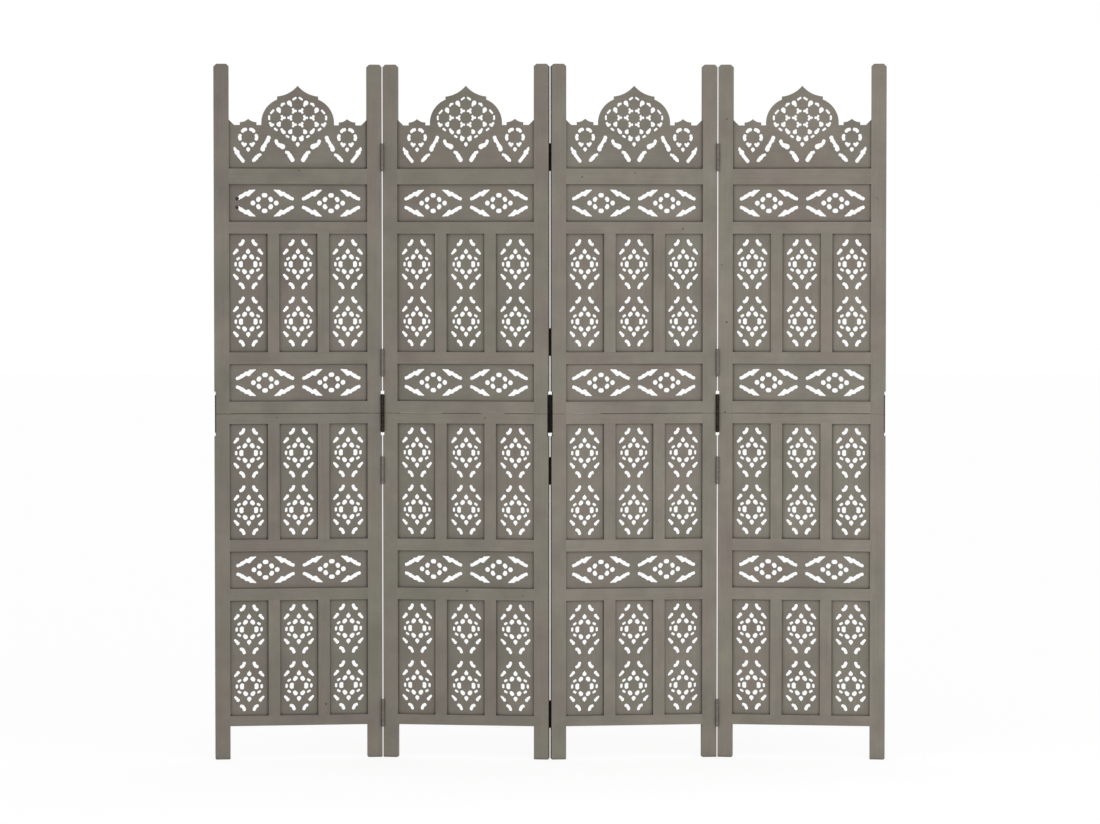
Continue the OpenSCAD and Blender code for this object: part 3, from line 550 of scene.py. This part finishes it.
def screw_tree():
    """Slotted countersunk wood screws: a profile of four rings, turned, with a slot cut in the head."""
    tree, given = geometry_tree("slotted screws", (
        "Length", "Head Radius", "Shank Radius", "Point Length", "Slot Width", "Slot Depth"))
    size = given.outputs
    head = add(tree, "ShaderNodeMath", {"operation": "SUBTRACT"},
               {0: size["Head Radius"], 1: size["Shank Radius"]})
    shoulder = add(tree, "ShaderNodeMath", {"operation": "SUBTRACT"},
                   {0: size["Length"], 1: size["Point Length"]})
    line = add(tree, "GeometryNodeMeshLine", None, {"Count": 4})
    index = add(tree, "GeometryNodeInputIndex")

    def ring_value(values):
        """The value that belongs to each ring, by its number."""
        choice = add(tree, "GeometryNodeIndexSwitch", {"data_type": "FLOAT"})
        while len(choice.index_switch_items) < len(values):
            choice.index_switch_items.new()
        tree.links.new(index.outputs[0], choice.inputs[0])
        for k, value in enumerate(values):
            if isinstance(value, bpy.types.NodeSocket):
                tree.links.new(value, choice.inputs[k + 1])
            else:
                choice.inputs[k + 1].default_value = value
        return choice.outputs[0]

    depth = ring_value((0.0, head.outputs[0], shoulder.outputs[0], size["Length"]))
    radius = ring_value((size["Head Radius"], size["Shank Radius"], size["Shank Radius"], SCREW_TIP))
    down = add(tree, "ShaderNodeMath", {"operation": "MULTIPLY"}, {0: depth, 1: -1.0})
    place = add(tree, "ShaderNodeCombineXYZ", None, {2: down.outputs[0]})
    axis = add(tree, "GeometryNodeSetPosition", None,
               {"Geometry": line.outputs[0], "Position": place.outputs[0]})
    curve = add(tree, "GeometryNodeMeshToCurve", None, {0: axis.outputs[0]})
    circle = add(tree, "GeometryNodeCurvePrimitiveCircle", None,
                 {"Resolution": SCREW_SIDES, "Radius": 1.0})
    turned = add(tree, "GeometryNodeCurveToMesh", None, {
        "Curve": curve.outputs[0], "Profile Curve": circle.outputs[0], "Scale": radius,
        "Fill Caps": True})
    # The slot's cutter runs past the head on both sides, and its upper half stands above it
    reach = add(tree, "ShaderNodeMath", {"operation": "MULTIPLY"}, {0: size["Head Radius"], 1: 3.0})
    sunk = add(tree, "ShaderNodeMath", {"operation": "MULTIPLY"}, {0: size["Slot Depth"], 1: 2.0})
    slot_size = add(tree, "ShaderNodeCombineXYZ", None,
                    {0: size["Slot Width"], 1: reach.outputs[0], 2: sunk.outputs[0]})
    slot = add(tree, "GeometryNodeMeshCube", None, {"Size": slot_size.outputs[0]})
    screw = add(tree, "GeometryNodeMeshBoolean", {"operation": "DIFFERENCE"},
                {0: turned.outputs[0], 1: slot.outputs[0]})
    placed = add(tree, "GeometryNodeInstanceOnPoints", None, {
        "Points": size["Points"], "Instance": screw.outputs[0],
        "Rotation": facing_rotation(tree, 7)})
    finished(tree, placed.outputs[0], size["Finish"])
    return tree


def nail_hole_tree():
    """Filled nail holes: flat lenses of filler, each of its own size and ragged outline."""
    tree, given = geometry_tree("filled nail holes", ("Radius", "Proud"))
    size = given.outputs
    ball = add(tree, "GeometryNodeMeshIcoSphere", None, {"Radius": 1.0, "Subdivisions": 3})
    flat = add(tree, "ShaderNodeCombineXYZ", None,
               {0: size["Radius"], 1: size["Radius"], 2: size["Proud"]})
    lens = add(tree, "GeometryNodeTransform", None,
               {"Geometry": ball.outputs[0], "Scale": flat.outputs[0]})
    varied = add(tree, "FunctionNodeRandomValue", {"data_type": "FLOAT_VECTOR"},
                 {0: SMALLEST_FILL, 1: LARGEST_FILL, "Seed": 3})
    placed = add(tree, "GeometryNodeInstanceOnPoints", None, {
        "Points": size["Points"], "Instance": lens.outputs[0],
        "Rotation": facing_rotation(tree, 11), "Scale": varied.outputs[0]})
    real = add(tree, "GeometryNodeRealizeInstances", None, {0: placed.outputs[0]})
    ragged = add(tree, "ShaderNodeTexNoise", None, {"Scale": 1 / BITE, "Detail": 2})
    centred = add(tree, "ShaderNodeVectorMath", {"operation": "SUBTRACT"},
                  {0: ragged.outputs["Color"], 1: (0.5, 0.5, 0.5)})
    level = add(tree, "ShaderNodeVectorMath", {"operation": "MULTIPLY"},
                {0: centred.outputs[0], 1: (BITE_REACH, 0.0, BITE_REACH)})
    shaped = add(tree, "GeometryNodeSetPosition", None,
                 {"Geometry": real.outputs[0], "Offset": level.outputs[0]})
    finished(tree, shaped.outputs[0], size["Finish"])
    return tree


def scatter(name, tree, sizes, finish, places):
    """Runs a tree on points, each with the way it faces, and returns the result as a plain mesh."""
    mesh = bpy.data.meshes.new(name)
    mesh.from_pydata([place for place, _ in places], [], [])
    facing = mesh.attributes.new("facing", "FLOAT_VECTOR", "POINT")
    for item, (_, way) in zip(facing.data, places):
        item.vector = way
    points = bpy.data.objects.new(name + "_points", mesh)
    bpy.context.scene.collection.objects.link(points)
    nodes = points.modifiers.new("fixings", "NODES")
    nodes.node_group = tree
    for item in tree.interface.items_tree:
        if item.in_out == "INPUT" and item.name in sizes:
            nodes[item.identifier] = sizes[item.name]
        if item.in_out == "INPUT" and item.name == "Finish":
            nodes[item.identifier] = finish
    whole = bpy.data.meshes.new_from_object(
        points.evaluated_get(bpy.context.evaluated_depsgraph_get()))
    bpy.data.objects.remove(points)
    whole.name = name
    piece = bpy.data.objects.new(name, whole)
    bpy.context.scene.collection.objects.link(piece)
    return piece


def joint_shade_beads(leaf):
    """Ragged dark beads of painted shade along the joint between a leaf's frames, on its front and its
    back.
    """
    height, stretches = PAINTED_JOINT_SHADE[leaf]
    to_frame, _ = leaf_matrix(leaf)
    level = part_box(f"leaf_{leaf}_upper_left_stile")[0].z
    half = leaf_width(leaf) / 2
    draw = random.Random(60 + leaf)
    mesh = bmesh.new()
    for start, end in stretches:
        count = max(2, round((end - start) * MM / SHADE_BEAD_STEP))
        for side in (-1, 1):
            rings = []
            for k in range(count + 1):
                x = (start + (end - start) * k / count) * MM - half
                x = min(max(x, SHADE_BEAD_STEP / 4 - half), half - SHADE_BEAD_STEP / 4)
                reach = height / 2 * (SHADE_BEAD_ENDS if k in (0, count) else draw.uniform(*SHADE_BEAD_SWELL))
                drift = draw.uniform(-SHADE_BEAD_DRIFT, SHADE_BEAD_DRIFT) * height
                face = side * LEAF_THICKNESS / 2
                rings.append([mesh.verts.new(to_frame @ Vector((x, face + side * y, level + drift + z)))
                              for y, z in ((SHADE_BEAD_PROUD, -reach), (SHADE_BEAD_PROUD, reach),
                                           (-SHADE_BEAD_DEPTH, reach), (-SHADE_BEAD_DEPTH, -reach))])
            for near, far in zip(rings, rings[1:]):
                for i in range(4):
                    mesh.faces.new((near[i], near[i - 1], far[i - 1], far[i]))
            mesh.faces.new(rings[0])
            mesh.faces.new(reversed(rings[-1]))
    bmesh.ops.recalc_face_normals(mesh, faces=mesh.faces)
    whole = bpy.data.meshes.new(f"leaf_{leaf}_joint_shade_beads")
    mesh.to_mesh(whole)
    mesh.free()
    piece = bpy.data.objects.new(whole.name, whole)
    bpy.context.scene.collection.objects.link(piece)
    return piece


def solids_of(node):
    """The corners of each separate solid of a model's node."""
    mesh = bmesh.new()
    mesh.from_mesh(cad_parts[node].data)
    bmesh.ops.remove_doubles(mesh, verts=mesh.verts, dist=MERGE)
    solids, seen = [], set()
    for start in mesh.verts:
        if start in seen:
            continue
        seen.add(start)
        solid, edge = [], [start]
        while edge:
            vertex = edge.pop()
            solid.append(vertex.co.copy())
            near = [e.other_vert(vertex) for e in vertex.link_edges]
            fresh = [v for v in near if v not in seen]
            seen.update(fresh)
            edge += fresh
        solids.append(solid)
    mesh.free()
    return solids


def screw_places(leaf):
    """Where each screw's head lies and the way it faces, out of the edge of the leaf."""
    to_frame, _ = leaf_matrix(leaf)
    to_leaf = to_frame.inverted()
    places = []
    for solid in solids_of(f"leaf_{leaf}_screws"):
        own = [to_leaf @ corner for corner in solid]
        low = Vector([min(c[i] for c in own) for i in range(3)])
        high = Vector([max(c[i] for c in own) for i in range(3)])
        out = 1 if low.x > 0 else -1
        head = Vector((high.x if out > 0 else low.x, (low.y + high.y) / 2, (low.z + high.z) / 2))
        places.append((to_frame @ head, to_frame.to_3x3() @ Vector((out, 0, 0))))
    return sorted(places, key=lambda place: tuple(place[0]))


def front_places(leaf, marks, depth):
    """The marks of one leaf, at a depth behind its front face, each facing forward."""
    to_frame, _ = leaf_matrix(leaf)
    half = leaf_width(leaf) / 2
    out = to_frame.to_3x3() @ Vector((0, -1, 0))
    return [(to_frame @ Vector((x * MM - half, depth - LEAF_THICKNESS / 2, z * MM)), out)
            for owner, x, z in marks if owner == leaf]


# ---------------------------------------------------------------- the screen

build_camera()
build_world()
build_lamp("key", KEY_PLACE, KEY_AIM, KEY_SIZE, KEY_WATTS)
build_floor()

for leaf in LEAVES:
    turn = leaf_matrix(leaf)[1]
    for kind, level, hues, seed, parts in PAINTS:
        name = f"chalk paint, leaf {leaf} {kind}"
        # each leaf's paint takes its painted light
        paint = chalk_paint(name, turn, level, hues, PAINTED_LEAF_LIGHT[leaf], seed + leaf)
        for part in parts:
            finish_node(f"leaf_{leaf}_{part}", paint)

steel, lacquer = hinge_steel(), black_lacquer()
# The middle seam's hinges take the black lacquer as painted shade, for the shadow deep in that seam's
# gap; the joining plates are black lacquered steel
for seam in (1, 2, 3):
    for part in ("pin_side_plates", "free_side_plates", "pins"):
        finish_node(f"seam_{seam}_{part}", lacquer if seam == 2 else steel)
finish_node("left_joining_plate", lacquer)
finish_node("right_joining_plate", lacquer)

screws, nail_holes = screw_tree(), nail_hole_tree()
screw_sizes = {"Length": SCREW_LENGTH, "Head Radius": SCREW_HEAD, "Shank Radius": SCREW_SHANK,
               "Point Length": SCREW_POINT, "Slot Width": SCREW_SLOT[0], "Slot Depth": SCREW_SLOT[1]}
nail_sizes = {"Radius": NAIL_HOLE, "Proud": NAIL_PROUD}
blind_sizes = {"Radius": BLIND_END, "Proud": BLIND_WOOD}
screw_steel, filler = blackened_screw_steel(), wood_filler()
for leaf in LEAVES:
    piece = scatter(f"leaf_{leaf}_slotted_screws", screws, screw_sizes, screw_steel, screw_places(leaf))
    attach(piece, f"leaf_{leaf}")
    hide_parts(f"leaf_{leaf}_screws")
    piece = scatter(f"leaf_{leaf}_filled_nail_holes", nail_holes, nail_sizes, filler,
                    front_places(leaf, NAIL_HOLES, 0))
    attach(piece, f"leaf_{leaf}")
    # Dark beads in the joint between the frames, in the filler's finish: painted shade
    piece = joint_shade_beads(leaf)
    piece.data.materials.append(filler)
    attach(piece, f"leaf_{leaf}")
piece = scatter("leaf_1_blind_slot_ends", nail_holes, blind_sizes, filler,
                front_places(1, BLIND_ENDS, PANEL_DEPTH + BLIND_DEPTH))
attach(piece, "leaf_1")

bpy.context.scene.view_settings.view_transform = "Standard"
